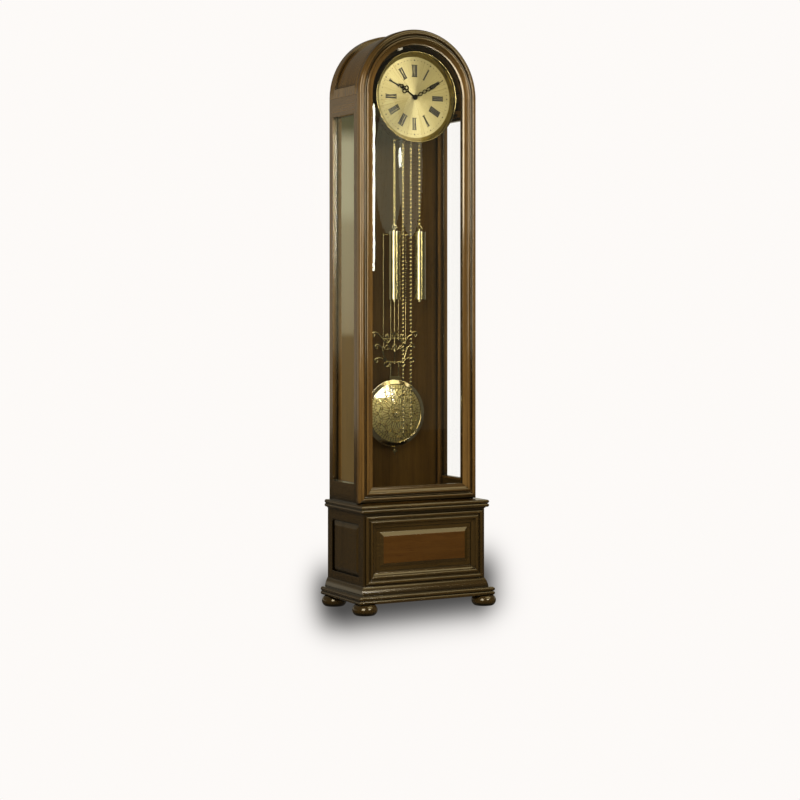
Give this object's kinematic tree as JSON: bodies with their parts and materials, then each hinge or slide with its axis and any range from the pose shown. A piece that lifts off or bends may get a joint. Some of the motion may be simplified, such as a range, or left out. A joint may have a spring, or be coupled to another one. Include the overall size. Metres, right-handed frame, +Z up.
{
  "type": "long-case clock",
  "caption": "Tall wooden floor clock with round-topped glazed door, brass dial, chain-hung weights and lyre pendulum over a panelled base on bun feet.",
  "frame": {"origin": "on the floor, below the middle of the four feet", "axes": "+Z up, -Y towards the viewer, out of the door; +X to the viewer's right"},
  "size_m": [0.5199, 0.3, 1.88],
  "materials": {
    "walnut": "dark lacquered, satin",
    "panel_wood": "dark lacquered veneer, satin",
    "clear_glass": "clear, polished",
    "polished_brass": "polished",
    "dial_brass": "brushed, lacquered",
    "clock_brass": "plain rolled",
    "black_metal": "black, satin",
    "steel": "brushed",
    "catch_plastic": "matte"
  },
  "bodies": {
    "case": {"arch_frame": "walnut", "back_panel": "panel_wood", "back_posts": "walnut", "base_boards": "walnut", "base_crown": "walnut", "base_front_frame": "walnut", "base_front_moulding": "walnut", "base_front_panel": "panel_wood", "base_side_frames": "walnut", "base_side_panels": "panel_wood", "bezel": "polished_brass", "bun_feet": "walnut", "dial_plate": "dial_brass", "door_catch": "catch_plastic", "gong": "steel", "hinge_case_leaves": "polished_brass", "left_chain": "polished_brass", "left_side_frame": "walnut", "movement_plates": "clock_brass", "plate_pillars": "clock_brass", "plinth_moulding": "walnut", "right_chain": "polished_brass", "right_side_frame": "walnut", "roof_panel": "walnut", "seat_board": "walnut", "seat_cleats": "walnut", "side_glass": "clear_glass", "side_glass_stops": "walnut", "suspension_cock": "clock_brass"},
    "door": {"door_arch": "walnut", "door_stiles": "walnut", "door_rail": "walnut", "door_glass": "clear_glass", "door_glass_stop": "walnut", "hinge_door_leaves": "polished_brass", "catch_plate": "steel"},
    "minute_hand": {"minute_hand": "black_metal", "cannon_pinion": "clock_brass"},
    "hour_hand": {"hour_hand": "black_metal", "hour_wheel": "clock_brass"},
    "minute_wheel": {"minute_wheel": "clock_brass"},
    "great_wheel": {"great_wheel": "clock_brass"},
    "centre_wheel": {"centre_wheel": "clock_brass"},
    "third_wheel": {"third_wheel": "clock_brass"},
    "escape_wheel": {"escape_wheel": "clock_brass"},
    "anchor": {"anchor": "steel"},
    "pendulum": {"pendulum_leader": "polished_brass", "lyre_rods": "polished_brass", "lyre_frame": "polished_brass", "pendulum_bob": "polished_brass", "bob_fittings": "polished_brass", "suspension_spring": "steel"},
    "left_chain_wheel": {"left_chain_wheel": "clock_brass"},
    "right_chain_wheel": {"right_chain_wheel": "clock_brass"},
    "left_weight": {"left_weight": "polished_brass"},
    "right_weight": {"right_weight": "polished_brass"},
    "left_chain_end": {"left_chain_ring": "polished_brass"},
    "right_chain_end": {"right_chain_ring": "polished_brass"},
    "hammer": {"strike_hammer": "steel"}
  },
  "joints": [
    {"name": "door_hinge", "type": "hinge", "parent": "case", "child": "door", "pos_m": [0.2205, -0.04625, 1], "axis": [0, 0, 1], "range_deg": [0, 100]},
    {"name": "minute_hand_turn", "type": "hinge", "parent": "case", "child": "minute_hand", "pos_m": [0, -0.03, 1.662], "axis": [0, 1, 0], "continuous": true},
    {"name": "hour_hand_turn", "type": "hinge", "parent": "case", "child": "hour_hand", "pos_m": [0, -0.03, 1.662], "axis": [0, 1, 0], "continuous": true},
    {"name": "minute_wheel_turn", "type": "hinge", "parent": "case", "child": "minute_wheel", "pos_m": [-0.01697, -0.015, 1.67897], "axis": [0, 1, 0], "continuous": true},
    {"name": "third_wheel_turn", "type": "hinge", "parent": "case", "child": "third_wheel", "pos_m": [0.01, 0.03, 1.692], "axis": [0, 1, 0], "continuous": true},
    {"name": "escape_wheel_turn", "type": "hinge", "parent": "case", "child": "escape_wheel", "pos_m": [0, 0.03, 1.721], "axis": [0, 1, 0], "continuous": true},
    {"name": "centre_wheel_turn", "type": "hinge", "parent": "case", "child": "centre_wheel", "pos_m": [0, 0.03, 1.662], "axis": [0, 1, 0], "continuous": true},
    {"name": "great_wheel_turn", "type": "hinge", "parent": "case", "child": "great_wheel", "pos_m": [-0.03075, 0, 1.668], "axis": [0, 1, 0], "continuous": true},
    {"name": "pendulum_swing", "type": "hinge", "parent": "case", "child": "pendulum", "pos_m": [0, 0.101, 1.755], "axis": [0, 1, 0], "range_deg": [-3, 3], "deforming": ["suspension_spring"]},
    {"name": "anchor_rock", "type": "hinge", "parent": "case", "child": "anchor", "pos_m": [0, 0.03, 1.755], "axis": [0, 1, 0], "range_deg": [-3, 3]},
    {"name": "left_weight_slide", "type": "slide", "parent": "case", "child": "left_weight", "axis": [0, 0, 1], "range_m": [-0.55, 0.19], "deforming": ["left_chain"]},
    {"name": "left_chain_end_slide", "type": "slide", "parent": "case", "child": "left_chain_end", "axis": [0, 0, 1], "range_m": [-0.19, 0.55]},
    {"name": "left_chain_wheel_turn", "type": "hinge", "parent": "case", "child": "left_chain_wheel", "pos_m": [-0.03075, 0.015, 1.668], "axis": [0, 1, 0], "continuous": true},
    {"name": "right_weight_slide", "type": "slide", "parent": "case", "child": "right_weight", "axis": [0, 0, 1], "range_m": [-0.55, 0.19], "deforming": ["right_chain"]},
    {"name": "right_chain_end_slide", "type": "slide", "parent": "case", "child": "right_chain_end", "axis": [0, 0, 1], "range_m": [-0.19, 0.55]},
    {"name": "right_chain_wheel_turn", "type": "hinge", "parent": "case", "child": "right_chain_wheel", "pos_m": [0.03075, 0.015, 1.668], "axis": [0, 1, 0], "continuous": true},
    {"name": "hammer_lift", "type": "hinge", "parent": "case", "child": "hammer", "pos_m": [0.057, 0.05, 1.741], "axis": [0, 1, 0], "range_deg": [0, 20]}
  ],
  "couplings": [
    {"joint": "minute_wheel_turn", "follows": "minute_hand_turn", "ratio": -0.33333},
    {"joint": "hour_hand_turn", "follows": "minute_hand_turn", "ratio": 0.083333},
    {"joint": "escape_wheel_turn", "follows": "third_wheel_turn", "ratio": -7.5},
    {"joint": "centre_wheel_turn", "follows": "third_wheel_turn", "ratio": -0.125},
    {"joint": "great_wheel_turn", "follows": "third_wheel_turn", "ratio": 0.019231},
    {"joint": "anchor_rock", "follows": "pendulum_swing", "ratio": 1},
    {"joint": "left_chain_end_slide", "follows": "left_weight_slide", "ratio": -1},
    {"joint": "left_chain_wheel_turn", "follows": "left_weight_slide", "rad_per_m": 61.538},
    {"joint": "right_chain_end_slide", "follows": "right_weight_slide", "ratio": -1},
    {"joint": "right_chain_wheel_turn", "follows": "right_weight_slide", "rad_per_m": -61.538}
  ]
}
